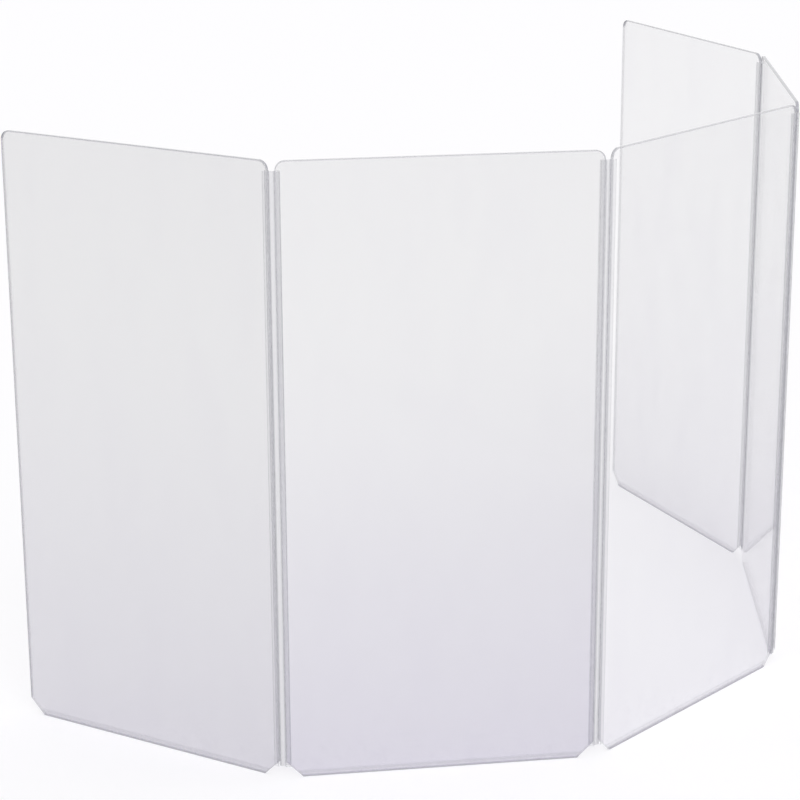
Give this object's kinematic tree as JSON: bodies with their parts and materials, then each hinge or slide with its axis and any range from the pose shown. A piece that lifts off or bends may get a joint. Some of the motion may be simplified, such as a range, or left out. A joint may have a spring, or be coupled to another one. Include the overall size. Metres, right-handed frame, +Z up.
{
  "type": "drum shield",
  "caption": "Free-standing clear acrylic folding screen for a drum kit: upright sheets joined by full-height flexible clear hinges, with rounded top corners and cable notches at the floor.",
  "frame": {"origin": "middle of the bottom edge of the centre sheet, on the floor", "axes": "+X along the centre sheet, to the right as the audience sees it; +Y from the audience towards the drummer; +Z up"},
  "size_m": [1.9486, 1.0048, 1.2192],
  "materials": {
    "clear_sheet": "clear cast acrylic sheet, polished faces and edges",
    "hinge_channel": "clear rigid vinyl, glossy, slightly grey",
    "flexible_web": "clear flexible vinyl, glossy, slightly milky"
  },
  "bodies": {
    "panel_1_body": {"hinge_1_channel_left": "hinge_channel", "panel_1": "clear_sheet"},
    "panel_2_body": {"hinge_1_channel_right": "hinge_channel", "hinge_2_channel_left": "hinge_channel", "panel_2": "clear_sheet"},
    "panel_3_body": {"hinge_2_channel_right": "hinge_channel", "hinge_3_channel_left": "hinge_channel", "panel_3": "clear_sheet"},
    "panel_4_body": {"hinge_3_channel_right": "hinge_channel", "hinge_4_channel_left": "hinge_channel", "panel_4": "clear_sheet"},
    "panel_5_body": {"hinge_4_channel_right": "hinge_channel", "panel_5": "clear_sheet"},
    "hinge_1_web_body": {"hinge_1_web": "flexible_web"},
    "hinge_2_web_body": {"hinge_2_web": "flexible_web"},
    "hinge_3_web_body": {"hinge_3_web": "flexible_web"},
    "hinge_4_web_body": {"hinge_4_web": "flexible_web"}
  },
  "joints": [
    {"name": "hinge_1_right_crease", "type": "hinge", "parent": "panel_2_body", "child": "hinge_1_web_body", "pos_m": [-0.789, 0.3934, 0.61185], "axis": [0, 0, -1], "range_deg": [-109.25, 70.75]},
    {"name": "hinge_1_left_crease", "type": "hinge", "parent": "hinge_1_web_body", "child": "panel_1_body", "pos_m": [-0.79396, 0.40156, 0.61185], "axis": [0, 0, -1], "range_deg": [-109.25, 70.75]},
    {"name": "hinge_2_right_crease", "type": "hinge", "parent": "panel_3_body", "child": "hinge_2_web_body", "pos_m": [-0.3067, 0, 0.61185], "axis": [0, 0, 1], "range_deg": [-70.25, 109.75]},
    {"name": "hinge_2_left_crease", "type": "hinge", "parent": "hinge_2_web_body", "child": "panel_2_body", "pos_m": [-0.31569, 0.00323, 0.61185], "axis": [0, 0, 1], "range_deg": [-70.25, 109.75]},
    {"name": "hinge_3_left_crease", "type": "hinge", "parent": "panel_3_body", "child": "hinge_3_web_body", "pos_m": [0.3067, 0, 0.61185], "axis": [0, 0, 1], "range_deg": [-110.25, 69.75]},
    {"name": "hinge_3_right_crease", "type": "hinge", "parent": "hinge_3_web_body", "child": "panel_4_body", "pos_m": [0.31566, 0.00331, 0.61185], "axis": [0, 0, 1], "range_deg": [-110.25, 69.75]},
    {"name": "hinge_4_left_crease", "type": "hinge", "parent": "panel_4_body", "child": "hinge_4_web_body", "pos_m": [0.78209, 0.40168, 0.61185], "axis": [0, 0, -1], "range_deg": [-76.5, 103.5]},
    {"name": "hinge_4_right_crease", "type": "hinge", "parent": "hinge_4_web_body", "child": "panel_5_body", "pos_m": [0.78771, 0.4094, 0.61185], "axis": [0, 0, -1], "range_deg": [-76.5, 103.5]}
  ]
}
